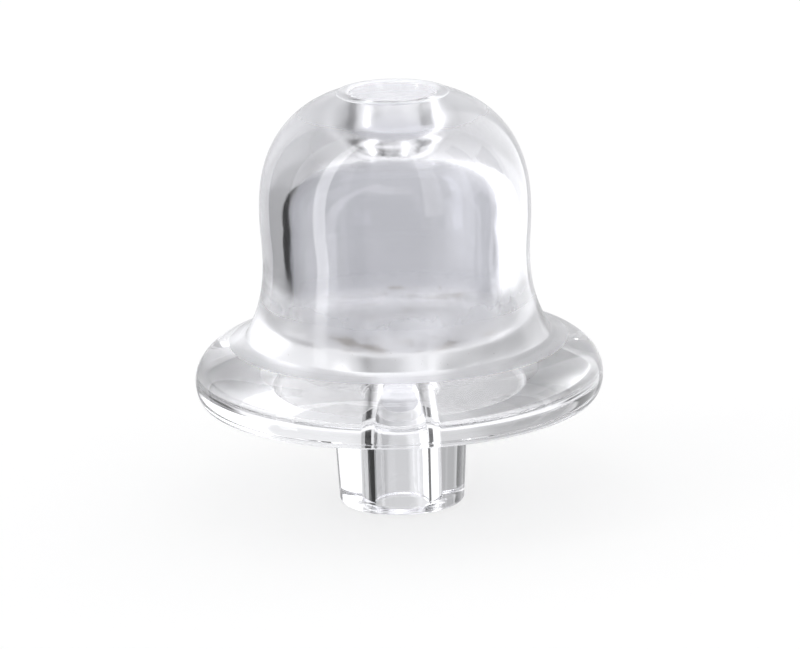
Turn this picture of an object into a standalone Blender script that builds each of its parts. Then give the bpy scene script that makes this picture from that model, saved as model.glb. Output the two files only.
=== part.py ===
"""Clear glass vent cap: a hollow bell-shaped dome with a vent in its crown, a round
weld ring at the dome's foot, a thick solid disc and a short thick-walled nozzle tube.

All four are turned shapes on one vertical axis. The cap stands on the nozzle's end:
Z is up, the origin is the middle of that end, and every length is in metres.
"""

from math import acos, cos, degrees, pi, radians, sin

import bmesh
import bpy

# ---- Driving dimensions -------------------------------------------------------------
JOINT_GAP = 0.0003  # left between two sections where the real ones are fused
SEGMENTS = 64  # facets round the axis
SHARP_ANGLE = radians(28)  # edges steeper than this stay sharp

AIR_BORE_RADIUS = 0.00225  # the passage up through the nozzle and the disc

NOZZLE_END_RADIUS = 0.00526
NOZZLE_ROOT_RADIUS = 0.00572
NOZZLE_LENGTH = 0.00905  # from its end to the disc's underside
NOZZLE_EDGE_ROUND = 0.00035
NOZZLE_BORE_FLARE = 0.0004  # how much wider the bore's rounded mouth is

DISC_RADIUS = 0.0170
DISC_THICKNESS = 0.0052
DISC_WIDEST_SHARE = 0.32  # height of the widest circle, as a share of the thickness
DISC_UPPER_ROUND = 0.0050  # radial width of the soft upper shoulder
DISC_LOWER_ROUND = 0.0009  # radial width of the tighter lower edge
DISC_SHOULDER_POWER = 2.07
DISC_BORE_ROUND = 0.0005
NOZZLE_SEAT_MARGIN = 0.0004  # the nozzle's seat in the underside is this much wider
NOZZLE_SEAT_DEPTH = 0.00008

FLARE_BASE_RADIUS = 0.0127  # where the dome's foot runs out on the disc
FLARE_BASE_HEIGHT = 0.01455
FLARE_POWER = 2.34
WAIST_RADIUS = 0.0111
WAIST_HEIGHT = 0.0211
BULGE_RADIUS = 0.01127
BULGE_HEIGHT = 0.0248
CROWN_HEIGHT = 0.0354  # where the crown would close if it had no vent
CROWN_POWER = 2.43

WELD_RING_TOP = 0.0162

CAVITY_RADIUS = 0.00875
CAVITY_SHOULDER_HEIGHT = 0.0245
CAVITY_CEILING = 0.0310
CAVITY_POWER = 2.4
CAVITY_FLOOR_ROUND = 0.0009

VENT_TOP_RADIUS = 0.0037
VENT_LOWER_RADIUS = 0.0033
VENT_LIP = 0.0005  # half the radial width of the rounded lip
VENT_LIP_RISE = 0.0002  # how far the lip stands above the crown's edge
VENT_MOUTH_ROUND = 0.0006  # rounding where the vent opens into the cavity

CLEAR_GLASS = (0.86, 0.87, 0.89, 1.0)
CLEAR_ROUGHNESS = 0.02
HAZED_GLASS = (0.78, 0.79, 0.82, 1.0)
HAZED_ROUGHNESS = 0.12


# ---- Outlines -----------------------------------------------------------------------
def signed_power(value, power):
    """The value's size raised to a power, with its own sign."""
    return abs(value) ** power if value >= 0 else -(abs(value) ** power)


def oval_arc(centre, semi, start, end, steps, power=2.0):
    """Points (radius, height) along a superellipse, between two angles in degrees."""
    points = []
    for step in range(steps + 1):
        angle = radians(start + (end - start) * step / steps)
        radius = centre[0] + semi[0] * signed_power(cos(angle), 2 / power)
        height = centre[1] + semi[1] * signed_power(sin(angle), 2 / power)
        points.append((radius, height))
    return points


def dome_side(height):
    """Outer radius of the dome's side: a flared foot, a waist and a slight bulge."""
    if height < WAIST_HEIGHT:
        rise = (height - FLARE_BASE_HEIGHT) / (WAIST_HEIGHT - FLARE_BASE_HEIGHT)
        flare = FLARE_BASE_RADIUS - WAIST_RADIUS
        return WAIST_RADIUS + flare * (1 - rise) ** FLARE_POWER
    rise = (height - WAIST_HEIGHT) / (BULGE_HEIGHT - WAIST_HEIGHT)
    return WAIST_RADIUS + (BULGE_RADIUS - WAIST_RADIUS) * (1 - cos(pi * rise)) / 2


def side_points(low, high, steps):
    """Points up the dome's outer side, between two heights."""
    heights = [low + (high - low) * step / steps for step in range(steps + 1)]
    return [(dome_side(height), height) for height in heights]


def angle_at_radius(radius, semi, power):
    """Angle in degrees at which a superellipse about the axis reaches a radius."""
    return degrees(acos((radius / semi) ** (power / 2)))


# ---- Building -----------------------------------------------------------------------
def clear_scene():
    for old in list(bpy.data.objects):
        bpy.data.objects.remove(old, do_unlink=True)


def glass_material(name, colour, roughness):
    material = bpy.data.materials.new(name)
    material.use_nodes = True
    shader = material.node_tree.nodes["Principled BSDF"]
    shader.inputs["Base Color"].default_value = colour
    shader.inputs["Roughness"].default_value = roughness
    shader.inputs["Metallic"].default_value = 0.0
    shader.inputs["Transmission Weight"].default_value = 1.0
    return material


def turned_piece(name, outline, material):
    """One closed ring-shaped body: a closed outline of (radius, height) turned once."""
    mesh = bpy.data.meshes.new(name)
    form = bmesh.new()
    corners = [form.verts.new((radius, 0, height)) for radius, height in outline]
    for index, corner in enumerate(corners):
        form.edges.new((corner, corners[(index + 1) % len(corners)]))
    bmesh.ops.spin(
        form,
        geom=form.verts[:] + form.edges[:],
        cent=(0, 0, 0),
        axis=(0, 0, 1),
        angle=2 * pi,
        steps=SEGMENTS,
        use_merge=True,
    )
    bmesh.ops.recalc_face_normals(form, faces=form.faces[:])
    form.to_mesh(mesh)
    form.free()
    mesh.shade_smooth()
    mesh.set_sharp_from_angle(angle=SHARP_ANGLE)
    mesh.materials.append(material)
    piece = bpy.data.objects.new(name, mesh)
    bpy.context.scene.collection.objects.link(piece)
    return piece


# ---- The four sections --------------------------------------------------------------
def nozzle_tube(material):
    """Thick-walled tube, slightly wider at its root, with both ends flat."""
    top = NOZZLE_LENGTH + NOZZLE_SEAT_DEPTH - JOINT_GAP
    edge = NOZZLE_EDGE_ROUND
    flare = NOZZLE_BORE_FLARE
    outline = oval_arc((NOZZLE_END_RADIUS - edge, edge), (edge, edge), -90, 0, 4)
    outline.append((NOZZLE_ROOT_RADIUS, top))
    outline.append((AIR_BORE_RADIUS, top))
    outline += oval_arc((AIR_BORE_RADIUS + flare, flare), (flare, flare), 180, 270, 4)
    return turned_piece("nozzle_tube", outline, material)


def flange_disc(material):
    """Solid disc: a flat underside with the nozzle's shallow seat, and a soft shoulder."""
    bottom = NOZZLE_LENGTH
    top = bottom + DISC_THICKNESS
    widest = bottom + DISC_THICKNESS * DISC_WIDEST_SHARE
    lower = DISC_LOWER_ROUND
    upper = DISC_UPPER_ROUND
    bore_edge = DISC_BORE_ROUND
    outline = oval_arc((DISC_RADIUS - lower, widest), (lower, widest - bottom), -90, 0, 7)
    outline += oval_arc(
        (DISC_RADIUS - upper, widest), (upper, top - widest), 0, 90, 14, DISC_SHOULDER_POWER
    )[1:]
    outline += oval_arc(
        (AIR_BORE_RADIUS + bore_edge, top - bore_edge), (bore_edge, bore_edge), 90, 180, 4
    )
    seat_radius = NOZZLE_ROOT_RADIUS + NOZZLE_SEAT_MARGIN
    outline.append((AIR_BORE_RADIUS, bottom + NOZZLE_SEAT_DEPTH))
    outline.append((seat_radius, bottom + NOZZLE_SEAT_DEPTH))
    outline.append((seat_radius, bottom))
    return turned_piece("flange_disc", outline, material)


def foot_weld_ring(material):
    """Ring of melted glass that joins the dome's foot to the disc."""
    base = NOZZLE_LENGTH + DISC_THICKNESS + JOINT_GAP
    fillet = CAVITY_FLOOR_ROUND
    outline = side_points(base, WELD_RING_TOP, 5)
    outline.append((CAVITY_RADIUS, WELD_RING_TOP))
    outline += oval_arc((CAVITY_RADIUS - fillet, base + fillet), (fillet, fillet), 0, -60, 4)
    outline.append((outline[-1][0], base))
    return turned_piece("foot_weld_ring", outline, material)


def blown_dome(material):
    """Hollow bell with a thick crown, open below, and a vent down through the crown."""
    foot = WELD_RING_TOP + JOINT_GAP
    mouth = VENT_MOUTH_ROUND
    crown_rise = CROWN_HEIGHT - BULGE_HEIGHT
    cavity_rise = CAVITY_CEILING - CAVITY_SHOULDER_HEIGHT
    lip_edge = angle_at_radius(VENT_TOP_RADIUS + 2 * VENT_LIP, BULGE_RADIUS, CROWN_POWER)
    mouth_edge = angle_at_radius(VENT_LOWER_RADIUS + mouth, CAVITY_RADIUS, CAVITY_POWER)
    outline = side_points(foot, BULGE_HEIGHT, 9)
    outline += oval_arc(
        (0, BULGE_HEIGHT), (BULGE_RADIUS, crown_rise), 0, lip_edge, 14, CROWN_POWER
    )[1:]
    lip_base = outline[-1][1]
    outline += oval_arc(
        (VENT_TOP_RADIUS + VENT_LIP, lip_base), (VENT_LIP, VENT_LIP_RISE), 0, 180, 6
    )[1:]
    ceiling = oval_arc(
        (0, CAVITY_SHOULDER_HEIGHT),
        (CAVITY_RADIUS, cavity_rise),
        mouth_edge,
        0,
        10,
        CAVITY_POWER,
    )
    outline.append((VENT_LOWER_RADIUS, ceiling[0][1] + mouth))
    outline += ceiling
    outline.append((CAVITY_RADIUS, foot))
    return turned_piece("blown_dome", outline, material)


def build():
    clear_scene()
    clear = glass_material("clear_glass", CLEAR_GLASS, CLEAR_ROUGHNESS)
    hazed = glass_material("hazed_glass", HAZED_GLASS, HAZED_ROUGHNESS)
    nozzle_tube(clear)
    flange_disc(clear)
    foot_weld_ring(hazed)
    blown_dome(hazed)


build()
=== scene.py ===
"""Looks of the clear glass vent cap: four fused sections of glass, seen as a studio product shot.

Each section is a closed turned mesh that replaces its CAD node. Where two sections are fused, both
end on the same flat ring, and those rings are see-through, so light crosses the joint unbent.
"""

from math import acos, cos, degrees, pi, radians, sin

import bmesh
import bpy
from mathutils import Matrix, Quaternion, Vector


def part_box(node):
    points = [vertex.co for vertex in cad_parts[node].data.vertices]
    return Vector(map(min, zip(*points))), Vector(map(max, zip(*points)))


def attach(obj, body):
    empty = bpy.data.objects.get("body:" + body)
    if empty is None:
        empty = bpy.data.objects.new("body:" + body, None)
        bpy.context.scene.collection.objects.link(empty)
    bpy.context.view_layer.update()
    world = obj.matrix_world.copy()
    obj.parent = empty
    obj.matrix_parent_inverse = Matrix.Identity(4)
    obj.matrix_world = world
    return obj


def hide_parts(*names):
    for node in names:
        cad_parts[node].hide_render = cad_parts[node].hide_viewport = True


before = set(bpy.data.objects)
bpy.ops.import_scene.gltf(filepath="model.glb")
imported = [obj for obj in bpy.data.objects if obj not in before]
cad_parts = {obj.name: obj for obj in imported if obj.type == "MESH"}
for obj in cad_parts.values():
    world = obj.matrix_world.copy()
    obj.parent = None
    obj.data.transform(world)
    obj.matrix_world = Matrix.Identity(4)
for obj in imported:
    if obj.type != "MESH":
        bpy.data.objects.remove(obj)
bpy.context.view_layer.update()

# ---- Sizes, in metres: from the frame where it has them ------------------------------
nozzle_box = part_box("nozzle_tube")
disc_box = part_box("flange_disc")
ring_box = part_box("foot_weld_ring")
dome_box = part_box("blown_dome")

NOZZLE_ROOT_RADIUS = nozzle_box[1].x
NOZZLE_END_RADIUS = NOZZLE_ROOT_RADIUS * 0.92
NOZZLE_EDGE_ROUND = 0.00035
NOZZLE_ROOT_FILLET = 0.00012
BORE_RADIUS = 0.00225
BORE_MOUTH_FLARE = 0.0004

DISC_UNDERSIDE = disc_box[0].z
DISC_TOP = disc_box[1].z
DISC_RADIUS = disc_box[1].x
DISC_WIDEST_SHARE = 0.32
DISC_UPPER_ROUND = 0.0050
DISC_LOWER_ROUND = 0.0009
DISC_SHOULDER_POWER = 2.07
DISC_BORE_ROUND = 0.0005
WELD_TOE_RADIUS = 0.0141

FLARE_BASE_RADIUS = ring_box[1].x
FLARE_BASE_HEIGHT = ring_box[0].z
FLARE_POWER = 2.34
WELD_RING_TOP = (ring_box[1].z + dome_box[0].z) / 2
WAIST_RADIUS = 0.0111
WAIST_HEIGHT = 0.0211
BULGE_RADIUS = 0.01127
BULGE_HEIGHT = 0.0248
CROWN_HEIGHT = 0.0354
CROWN_POWER = 2.43

CAVITY_RADIUS = 0.00875
CAVITY_FLOOR_ROUND = 0.0009
CAVITY_SHOULDER_HEIGHT = 0.0245
CAVITY_CEILING = 0.0310
CAVITY_POWER = 2.4

VENT_TOP_RADIUS = 0.0037
VENT_LOWER_RADIUS = 0.0033
VENT_LIP = 0.0005
VENT_LIP_RISE = 0.0002
VENT_MOUTH_ROUND = 0.0006
VENT_TAPER = 0.00004
VENT_TAPER_HEIGHT = 0.0006

SEGMENTS = 256
SHARP_ANGLE = radians(40)
# Half of how far the outside and the inside stray from round, always inwards, and the waves
# that make it: (share, turns round the axis, radians per metre of height, start in radians).
OUTER_WAVE = 0.000012
INNER_WAVE = 0.000025
WAVES = ((0.5, 2, 180, 0.6), (0.3, 3, -310, 2.1), (0.2, 5, 520, 4.0))

GLASS_INDEX = 1.46
SKIN_ROUGHNESS = 0.02
PATCHES_PER_METRE = 420
RIPPLES_PER_METRE = 150
GRAINS_PER_METRE = 2600
RIPPLE_HEIGHT = 0.001
GRAIN_HEIGHT = 0.0001
SPECK_EDGE = 0.06

FLOOR_HALF_WIDTH = 3.0
FLOOR_DROP = 0.00002  # keeps the floor off the nozzle's end
FLOOR_GLOW = 0.68

# ---- Outlines: lists of (radius, height, surface) ------------------------------------
# A point's surface is that of the band from it to the next point, and picks its material.
OUTER, INNER, JOINT, HAZED, TOE = range(5)


def signed_power(value, power):
    """The value's size raised to a power, with its own sign."""
    return abs(value) ** power if value >= 0 else -(abs(value) ** power)


def oval_arc(centre, semi, start, end, steps, surface, power=2.0):
    """Points along a superellipse, between two angles in degrees."""
    points = []
    for step in range(steps + 1):
        angle = radians(start + (end - start) * step / steps)
        radius = centre[0] + semi[0] * signed_power(cos(angle), 2 / power)
        height = centre[1] + semi[1] * signed_power(sin(angle), 2 / power)
        points.append((radius, height, surface))
    return points


def angle_at_radius(radius, semi, power):
    """Angle in degrees at which a superellipse about the axis reaches a radius."""
    return degrees(acos((radius / semi) ** (power / 2)))


def dome_side(height):
    """Outer radius of the dome's side: a flared foot, a waist and a slight bulge."""
    if height < WAIST_HEIGHT:
        rise = (height - FLARE_BASE_HEIGHT) / (WAIST_HEIGHT - FLARE_BASE_HEIGHT)
        flare = FLARE_BASE_RADIUS - WAIST_RADIUS
        return WAIST_RADIUS + flare * (1 - rise) ** FLARE_POWER
    rise = (height - WAIST_HEIGHT) / (BULGE_HEIGHT - WAIST_HEIGHT)
    return WAIST_RADIUS + (BULGE_RADIUS - WAIST_RADIUS) * (1 - cos(pi * rise)) / 2


def side_points(low, high, steps):
    """Points up the dome's outer side, between two heights."""
    heights = [low + (high - low) * step / steps for step in range(steps + 1)]
    return [(dome_side(height), height, OUTER) for height in heights]


def shoulder_height(radius):
    """Height of the disc's shoulder at a radius."""
    widest = DISC_UNDERSIDE + (DISC_TOP - DISC_UNDERSIDE) * DISC_WIDEST_SHARE
    out = (radius - DISC_RADIUS + DISC_UPPER_ROUND) / DISC_UPPER_ROUND
    share = (1 - out**DISC_SHOULDER_POWER) ** (1 / DISC_SHOULDER_POWER)
    return widest + (DISC_TOP - widest) * share


def weld_fillet(steps=14):
    """The curve from the foot's flare down on to the disc's shoulder, in line with both."""
    step = 0.00001
    first = (FLARE_BASE_RADIUS, FLARE_BASE_HEIGHT)
    last = (WELD_TOE_RADIUS, shoulder_height(WELD_TOE_RADIUS))
    flare_slope = (dome_side(FLARE_BASE_HEIGHT + step) - FLARE_BASE_RADIUS) / step
    toe_slope = (last[1] - shoulder_height(WELD_TOE_RADIUS - step)) / step
    drop = first[1] - last[1] + toe_slope * (last[0] - first[0])
    fall = drop / (1 - toe_slope * flare_slope)
    corner = (first[0] - flare_slope * fall, first[1] - fall)
    points = []
    for index in range(steps + 1):
        t = index / steps
        weights = ((1 - t) ** 2, 2 * t * (1 - t), t * t)
        radius = sum(w * p[0] for w, p in zip(weights, (first, corner, last)))
        height = sum(w * p[1] for w, p in zip(weights, (first, corner, last)))
        points.append((radius, height, OUTER))
    return points


FILLET = weld_fillet()
FILLET_SPLIT = max(i for i, point in enumerate(FILLET) if point[1] >= DISC_TOP)
WELD_HEIGHT = FILLET[FILLET_SPLIT][1]


def nozzle_outline():
    """Out round the flat end, up the side to the weld, then in and down the bore."""
    edge = NOZZLE_EDGE_ROUND
    root = NOZZLE_ROOT_FILLET
    flare = BORE_MOUTH_FLARE
    points = oval_arc((NOZZLE_END_RADIUS - edge, edge), (edge, edge), -90, 0, 8, OUTER)
    weld = (NOZZLE_ROOT_RADIUS + root, DISC_UNDERSIDE - root)
    points += oval_arc(weld, (root, root), 180, 90, 5, OUTER)
    points[-1] = (points[-1][0], DISC_UNDERSIDE, JOINT)
    points.append((BORE_RADIUS, DISC_UNDERSIDE, INNER))
    points += oval_arc((BORE_RADIUS + flare, flare), (flare, flare), 180, 270, 8, INNER)
    points[-1] = (points[-1][0], points[-1][1], OUTER)
    return points


def disc_outline():
    """Out along the underside, round the rim, up to the foot's weld, then in over the floor."""
    widest = DISC_UNDERSIDE + (DISC_TOP - DISC_UNDERSIDE) * DISC_WIDEST_SHARE
    lower = DISC_LOWER_ROUND
    upper = DISC_UPPER_ROUND
    floor_radius = CAVITY_RADIUS - CAVITY_FLOOR_ROUND
    edge = DISC_BORE_ROUND
    toe = angle_at_radius(WELD_TOE_RADIUS - DISC_RADIUS + upper, upper, DISC_SHOULDER_POWER)
    drop = widest - DISC_UNDERSIDE
    rise = DISC_TOP - widest
    points = [(NOZZLE_ROOT_RADIUS + NOZZLE_ROOT_FILLET, DISC_UNDERSIDE, OUTER)]
    points += oval_arc((DISC_RADIUS - lower, widest), (lower, drop), -90, 0, 20, OUTER)
    points += oval_arc(
        (DISC_RADIUS - upper, widest), (upper, rise), 0, toe, 48, OUTER, DISC_SHOULDER_POWER
    )[1:-1]
    points += [(radius, height, TOE) for radius, height, _ in reversed(FILLET[FILLET_SPLIT:])]
    points[-1] = (points[-1][0], WELD_HEIGHT, JOINT)
    points.append((floor_radius, WELD_HEIGHT, HAZED))
    points += oval_arc((BORE_RADIUS + edge, WELD_HEIGHT - edge), (edge, edge), 90, 180, 8, INNER)
    points.append((BORE_RADIUS, DISC_UNDERSIDE, JOINT))
    return points


def ring_outline():
    """Up the foot's flare from the disc to the dome's weld, and down inside to the floor."""
    corner = CAVITY_FLOOR_ROUND
    points = list(reversed(FILLET[: FILLET_SPLIT + 1]))
    points += side_points(FLARE_BASE_HEIGHT, WELD_RING_TOP, 12)[1:]
    points[-1] = (points[-1][0], WELD_RING_TOP, JOINT)
    points.append((CAVITY_RADIUS, WELD_RING_TOP, INNER))
    rounding = (CAVITY_RADIUS - corner, WELD_HEIGHT + corner)
    points += oval_arc(rounding, (corner, corner), 0, -90, 12, INNER)
    points[-1] = (points[-1][0], WELD_HEIGHT, JOINT)
    return points


def dome_outline():
    """Up the side, over the crown and its lip, down the vent, and back down the cavity's wall."""
    mouth = VENT_MOUTH_ROUND
    lip = VENT_LIP
    crown_rise = CROWN_HEIGHT - BULGE_HEIGHT
    cavity_rise = CAVITY_CEILING - CAVITY_SHOULDER_HEIGHT
    lip_edge = angle_at_radius(VENT_TOP_RADIUS + 2 * lip, BULGE_RADIUS, CROWN_POWER)
    mouth_edge = angle_at_radius(VENT_LOWER_RADIUS + 2 * mouth, CAVITY_RADIUS, CAVITY_POWER)
    points = side_points(WELD_RING_TOP, BULGE_HEIGHT, 48)
    points += oval_arc(
        (0, BULGE_HEIGHT), (BULGE_RADIUS, crown_rise), 0, lip_edge, 64, OUTER, CROWN_POWER
    )[1:]
    lip_base = points[-1][1]
    lip_centre = (VENT_TOP_RADIUS + lip, lip_base)
    points += oval_arc(lip_centre, (lip, VENT_LIP_RISE), 0, 180, 16, OUTER)[1:]
    points[-1] = (points[-1][0], points[-1][1], HAZED)
    ceiling = oval_arc(
        (0, CAVITY_SHOULDER_HEIGHT),
        (CAVITY_RADIUS, cavity_rise),
        mouth_edge,
        0,
        48,
        INNER,
        CAVITY_POWER,
    )
    throat = ceiling[0][1] + mouth
    points.append((VENT_LOWER_RADIUS + VENT_TAPER, throat + VENT_TAPER_HEIGHT, HAZED))
    opening = (VENT_LOWER_RADIUS + 2 * mouth, throat)
    points += oval_arc(opening, (2 * mouth, mouth), 180, 270, 10, HAZED)
    points += ceiling[1:]
    points.append((CAVITY_RADIUS, WELD_RING_TOP, JOINT))
    return points


# ---- Turning an outline into a piece --------------------------------------------------
def smooth_step(low, high, value):
    share = min(1, max(0, (value - low) / (high - low)))
    return share * share * (3 - 2 * share)


def wavy_radius(radius, height, angle):
    """Blown glass is never quite round: most inside, hardly at all on the outside."""
    outward = smooth_step(CAVITY_RADIUS, FLARE_BASE_RADIUS, radius)
    size = INNER_WAVE + (OUTER_WAVE - INNER_WAVE) * outward
    size *= smooth_step(0, BORE_RADIUS * 2, radius)
    wave = 0
    for share, turns, climb, start in WAVES:
        wave += share * sin(turns * angle + climb * height + start)
    return radius - size * (1 + wave)


def turned(name, outline, materials):
    """A closed outline turned once about the axis, with one material for each surface."""
    mesh = bpy.data.meshes.new(name)
    form = bmesh.new()
    rows = []
    for radius, height, _ in outline:
        row = []
        for index in range(SEGMENTS):
            angle = 2 * pi * index / SEGMENTS
            r = wavy_radius(radius, height, angle)
            row.append(form.verts.new((r * cos(angle), r * sin(angle), height)))
        rows.append(row)
    for index, row in enumerate(rows):
        above = rows[(index + 1) % len(rows)]
        for side in range(SEGMENTS):
            after = (side + 1) % SEGMENTS
            face = form.faces.new((row[side], row[after], above[after], above[side]))
            face.material_index = outline[index][2]
            face.smooth = True
    bmesh.ops.recalc_face_normals(form, faces=form.faces[:])
    form.to_mesh(mesh)
    form.free()
    mesh.set_sharp_from_angle(angle=SHARP_ANGLE)
    for material in materials:
        mesh.materials.append(material)
    piece = bpy.data.objects.new(name, mesh)
    bpy.context.scene.collection.objects.link(piece)
    return piece


# ---- Materials -----------------------------------------------------------------------
def add_math(tree, operation, *values):
    node = tree.nodes.new("ShaderNodeMath")
    node.operation = operation
    for socket, value in zip(node.inputs, values):
        if isinstance(value, (int, float)):
            socket.default_value = value
        else:
            tree.links.new(value, socket)
    return node.outputs[0]


def add_noise(tree, scale, detail=2.0, stretch=(1, 1, 1)):
    """Noise in the piece's own space, with its scale in features per metre."""
    place = tree.nodes.new("ShaderNodeTexCoord")
    fit = tree.nodes.new("ShaderNodeMapping")
    fit.inputs["Scale"].default_value = stretch
    tree.links.new(place.outputs["Object"], fit.inputs["Vector"])
    noise = tree.nodes.new("ShaderNodeTexNoise")
    noise.inputs["Scale"].default_value = scale
    noise.inputs["Detail"].default_value = detail
    tree.links.new(fit.outputs["Vector"], noise.inputs["Vector"])
    return noise.outputs["Fac"]


def add_range(tree, value, low, high, to_low, to_high):
    """The value, from one range smoothly on to another."""
    fit = tree.nodes.new("ShaderNodeMapRange")
    fit.interpolation_type = "SMOOTHSTEP"
    fit.inputs["From Min"].default_value = low
    fit.inputs["From Max"].default_value = high
    fit.inputs["To Min"].default_value = to_low
    fit.inputs["To Max"].default_value = to_high
    tree.links.new(value, fit.inputs["Value"])
    return fit.outputs["Result"]


def add_bump(tree, height, distance, strength, under=None):
    bump = tree.nodes.new("ShaderNodeBump")
    bump.inputs["Strength"].default_value = strength
    bump.inputs["Distance"].default_value = distance
    tree.links.new(height, bump.inputs["Height"])
    if under:
        tree.links.new(under, bump.inputs["Normal"])
    return bump.outputs["Normal"]


def add_height(tree):
    """Height above the cap's bottom end."""
    place = tree.nodes.new("ShaderNodeTexCoord")
    split = tree.nodes.new("ShaderNodeSeparateXYZ")
    tree.links.new(place.outputs["Object"], split.inputs["Vector"])
    return split.outputs["Z"]


def glass(name, tint, roughness, waves, grain, hazes=(), specks=(), gloss=0.0):
    """Clear glass with a little unevenness. Its roughness goes from one value to another, in
    patches. Each haze (from, to, roughness) sets in from one height to another. Each layer of
    specks is (colour, number per metre, detail, flatness, threshold), where a higher threshold
    leaves fewer. Gloss is a fire-polished skin over the haze."""
    material = bpy.data.materials.new(name)
    material.use_nodes = True
    tree = material.node_tree
    shader = tree.nodes["Principled BSDF"]
    shader.inputs["Base Color"].default_value = (*tint, 1)
    shader.inputs["Transmission Weight"].default_value = 1.0
    shader.inputs["IOR"].default_value = GLASS_INDEX
    shader.inputs["Coat Weight"].default_value = gloss
    shader.inputs["Coat Roughness"].default_value = SKIN_ROUGHNESS
    rough = add_range(tree, add_noise(tree, PATCHES_PER_METRE, 3.0), 0.35, 0.7, *roughness)
    for clear_at, full_at, amount in hazes:
        extra = add_range(tree, add_height(tree), clear_at, full_at, 0, amount)
        rough = add_math(tree, "ADD", rough, extra)
    tree.links.new(rough, shader.inputs["Roughness"])
    base = None
    for colour, number, detail, flatness, threshold in specks:
        mix = tree.nodes.new("ShaderNodeMix")
        mix.data_type = "RGBA"
        mix.inputs["A"].default_value = (*tint, 1)
        mix.inputs["B"].default_value = (*colour, 1)
        if base:
            tree.links.new(base, mix.inputs["A"])
        spots = add_noise(tree, number, detail, (1, 1, flatness))
        spots = add_range(tree, spots, threshold, threshold + SPECK_EDGE, 0, 1)
        tree.links.new(spots, mix.inputs["Factor"])
        base = mix.outputs["Result"]
    if base:
        tree.links.new(base, shader.inputs["Base Color"])
    ripples = add_noise(tree, RIPPLES_PER_METRE, 1.0)
    grains = add_noise(tree, GRAINS_PER_METRE, 2.0)
    normal = add_bump(tree, ripples, RIPPLE_HEIGHT, waves)
    normal = add_bump(tree, grains, GRAIN_HEIGHT, grain, normal)
    tree.links.new(normal, shader.inputs["Normal"])
    return material


def see_through(name):
    """The hidden face of a fused joint: light passes straight on."""
    material = bpy.data.materials.new(name)
    material.use_nodes = True
    tree = material.node_tree
    tree.nodes.clear()
    clear = tree.nodes.new("ShaderNodeBsdfTransparent")
    out = tree.nodes.new("ShaderNodeOutputMaterial")
    tree.links.new(clear.outputs["BSDF"], out.inputs["Surface"])
    return material


joint_face = see_through("fused_joint")
soot = (0.27, 0.235, 0.21)
scorch = (0.36, 0.325, 0.28)
sparse_soot = (soot, 5200, 3.0, 1, 0.71)
fine_soot = (soot, 3000, 3.0, 1, 0.60)
scorched = (scorch, 330, 9.0, 4, 0.585)
crown_haze = (0.0300, 0.0340, 0.28)
foot_haze = (0.0215, 0.0160, 0.34)
inner_foot_haze = (0.0220, 0.0170, 0.2)
clear_outside = glass("clear_outside", (0.995, 0.996, 1.0), (0.0, 0.02), 0.002, 0.001)
dome_outside = glass(
    "dome_outside",
    (0.945, 0.947, 0.965),
    (0.01, 0.02),
    0.002,
    0.001,
    hazes=(crown_haze, foot_haze),
    gloss=0.6,
)
weld_outside = glass(
    "weld_outside",
    (0.95, 0.952, 0.968),
    (0.34, 0.42),
    0.004,
    0.01,
    specks=(sparse_soot,),
    gloss=0.6,
)
dome_inside = glass(
    "dome_inside", (0.83, 0.834, 0.87), (0.07, 0.11), 0.01, 0.03, hazes=(inner_foot_haze,)
)
weld_inside = glass(
    "weld_inside", (0.88, 0.88, 0.90), (0.2, 0.3), 0.02, 0.2, specks=(fine_soot, scorched)
)
cavity_floor = glass(
    "cavity_floor", (0.93, 0.93, 0.945), (0.35, 0.5), 0.02, 0.2, specks=(fine_soot, scorched)
)
vent_glass = glass("vent_glass", (0.80, 0.80, 0.83), (0.10, 0.18), 0.02, 0.1)
bore_glass = glass("bore_glass", (0.985, 0.986, 0.994), (0.0, 0.02), 0.003, 0.001)

# ---- The four sections ---------------------------------------------------------------
# In a section's materials, each one's place is the surface that it covers.
SECTIONS = (
    (
        "nozzle",
        "nozzle_tube",
        "nozzle_glass",
        nozzle_outline(),
        (clear_outside, bore_glass, joint_face),
    ),
    (
        "disc",
        "flange_disc",
        "disc_glass",
        disc_outline(),
        (clear_outside, bore_glass, joint_face, cavity_floor, weld_outside),
    ),
    (
        "weld_ring",
        "foot_weld_ring",
        "weld_glass",
        ring_outline(),
        (weld_outside, weld_inside, joint_face),
    ),
    (
        "dome",
        "blown_dome",
        "dome_glass",
        dome_outline(),
        (dome_outside, dome_inside, joint_face, vent_glass),
    ),
)
for name, node, slot, outline, materials in SECTIONS:
    piece = turned(name, outline, materials)
    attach(piece, "root")
    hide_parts(node)


# ---- Floor, light and camera ---------------------------------------------------------
def add_floor():
    """A plain pale floor with a slight glow, which keeps the shadow soft. The glass doesn't bend or
    mirror it: the studio's panels stand for everything that shows in the glass."""
    size = FLOOR_HALF_WIDTH
    mesh = bpy.data.meshes.new("floor")
    corners = ((-size, -size), (size, -size), (size, size), (-size, size))
    mesh.from_pydata([(x, y, -FLOOR_DROP) for x, y in corners], [], [(0, 1, 2, 3)])
    floor = bpy.data.objects.new("floor", mesh)
    bpy.context.scene.collection.objects.link(floor)
    material = bpy.data.materials.new("floor_paper")
    material.use_nodes = True
    shader = material.node_tree.nodes["Principled BSDF"]
    shader.inputs["Base Color"].default_value = (0.3, 0.3, 0.3, 1)
    shader.inputs["Emission Color"].default_value = (1, 1, 1, 1)
    shader.inputs["Emission Strength"].default_value = FLOOR_GLOW
    shader.inputs["Roughness"].default_value = 0.9
    shader.inputs["Specular IOR Level"].default_value = 0.0
    mesh.materials.append(material)
    floor.visible_transmission = False
    floor.visible_glossy = False


def add_band(tree, value, low, high, soft):
    """One between two values, fading to none over the soft distance outside them."""
    rise = add_range(tree, value, low - soft, low, 0, 1)
    fall = add_range(tree, value, high, high + soft, 1, 0)
    return add_math(tree, "MULTIPLY", rise, fall)


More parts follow.
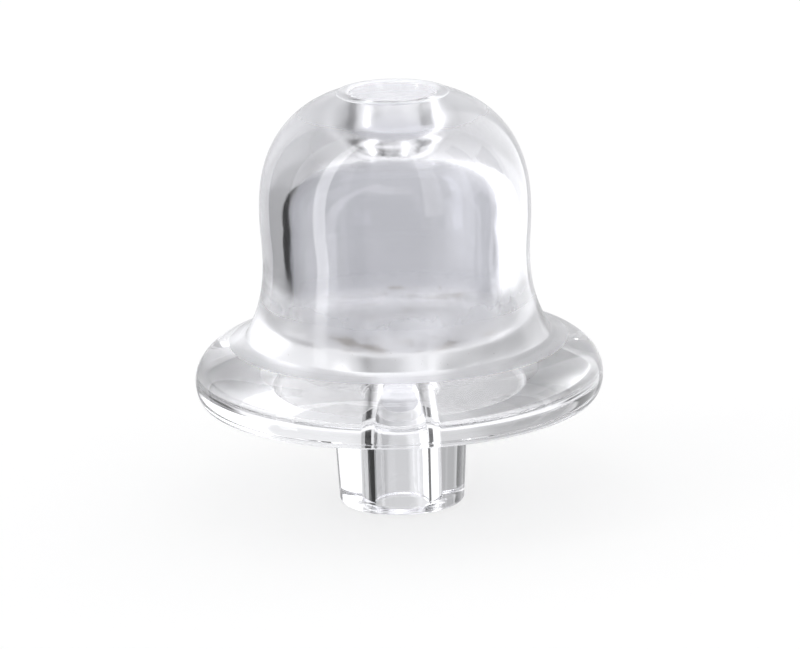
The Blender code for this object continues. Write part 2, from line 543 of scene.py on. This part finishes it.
def add_studio():
    """Soft panels of light and dark all round. Angles are in degrees: across, from straight behind
    the cap towards the right, and up from level. Each panel is (left, right, low, high, softness,
    brightness), and a later one covers an earlier one. Only the glass sees them: the camera's own
    view and the floor get plain white."""
    world = bpy.data.worlds.new("studio")
    world.use_nodes = True
    bpy.context.scene.world = world
    tree = world.node_tree
    place = tree.nodes.new("ShaderNodeTexCoord")
    split = tree.nodes.new("ShaderNodeSeparateXYZ")
    tree.links.new(place.outputs["Generated"], split.inputs["Vector"])
    across = add_math(tree, "ARCTAN2", split.outputs["X"], split.outputs["Y"])
    across = add_math(tree, "MULTIPLY", across, 180 / pi)
    up = add_math(tree, "ARCSINE", split.outputs["Z"])
    up = add_math(tree, "MULTIPLY", up, 180 / pi)
    panels = (
        (-180, 180, 46, 90, 12, 1.12),
        (-42, -11, -60, 40, 7, 0.49),
        (-11, 10, -60, 40, 8, 0.67),
        (10, 29, -60, 40, 6, 0.88),
        (31, 66, -50, 50, 5, 1.9),
        (66, 92, -50, 60, 6, 1.2),
        (70, 86, -60, 30, 3, 0.15),
        (94, 108, -56, 50, 3, 0.06),
        (-78, -47, -60, 58, 3, 0.012),
        (-180, -122, -60, 58, 6, 0.48),
        (154, 180, -60, 58, 6, 0.48),
        (-152, -140, -56, 50, 3, 0.05),
        (-180, 180, -90, -38, 8, 1.1),
        (-118, -108, -25, 72, 2, 3.8),
        (-180, -108, 68, 78, 2, 3.6),
        (140, 154, 0, 70, 3, 1.8),
        (140, 180, 68, 78, 2, 2.5),
    )
    level = 0.84
    for left, right, low, high, soft, brightness in panels:
        width = add_band(tree, across, left, right, soft)
        tall = add_band(tree, up, low, high, soft)
        mask = add_math(tree, "MULTIPLY", width, tall)
        keep = add_math(tree, "SUBTRACT", 1.0, mask)
        kept = add_math(tree, "MULTIPLY", keep, level)
        level = add_math(tree, "MULTIPLY_ADD", mask, brightness, kept)
    glassy = tree.nodes["Background"]
    tint = tree.nodes.new("ShaderNodeCombineColor")
    for channel, share in (("Red", 0.975), ("Green", 0.978), ("Blue", 1.0)):
        tree.links.new(add_math(tree, "MULTIPLY", level, share), tint.inputs[channel])
    tree.links.new(tint.outputs["Color"], glassy.inputs["Color"])
    plain = tree.nodes.new("ShaderNodeBackground")
    plain.inputs["Color"].default_value = (1, 1, 1, 1)
    path = tree.nodes.new("ShaderNodeLightPath")
    direct, diffuse = path.outputs["Is Camera Ray"], path.outputs["Is Diffuse Ray"]
    open_air = add_math(tree, "MAXIMUM", direct, diffuse)
    mix = tree.nodes.new("ShaderNodeMixShader")
    tree.links.new(open_air, mix.inputs["Fac"])
    tree.links.new(glassy.outputs["Background"], mix.inputs[1])
    tree.links.new(plain.outputs["Background"], mix.inputs[2])
    tree.links.new(mix.outputs["Shader"], tree.nodes["World Output"].inputs["Surface"])


def add_camera():
    """At the photograph's angle, a little above the disc, and turned slightly off level."""
    metres_per_pixel = 0.00008305
    image_width = 800
    sensor_width = 36
    distance = 0.45
    height = 0.01827
    rise = radians(15)
    turn = radians(-1.46)
    camera = bpy.data.objects.new("camera", bpy.data.cameras.new("camera"))
    bpy.context.scene.collection.objects.link(camera)
    back = Vector((0, -cos(rise), sin(rise)))
    camera.location = Vector((0, 0, height)) + back * distance
    camera.rotation_mode = "QUATERNION"
    level = (-back).to_track_quat("-Z", "Y")
    camera.rotation_quaternion = level @ Quaternion((0, 0, 1), turn)
    camera.data.sensor_width = sensor_width
    camera.data.lens = sensor_width * distance / (image_width * metres_per_pixel)
    camera.data.shift_x = 0.0036
    camera.data.shift_y = -0.0466
    bpy.context.scene.camera = camera


add_floor()
add_studio()
add_camera()
scene = bpy.context.scene
scene.view_settings.view_transform = "Standard"
scene.cycles.max_bounces = 32
scene.cycles.transmission_bounces = 32
scene.cycles.glossy_bounces = 16
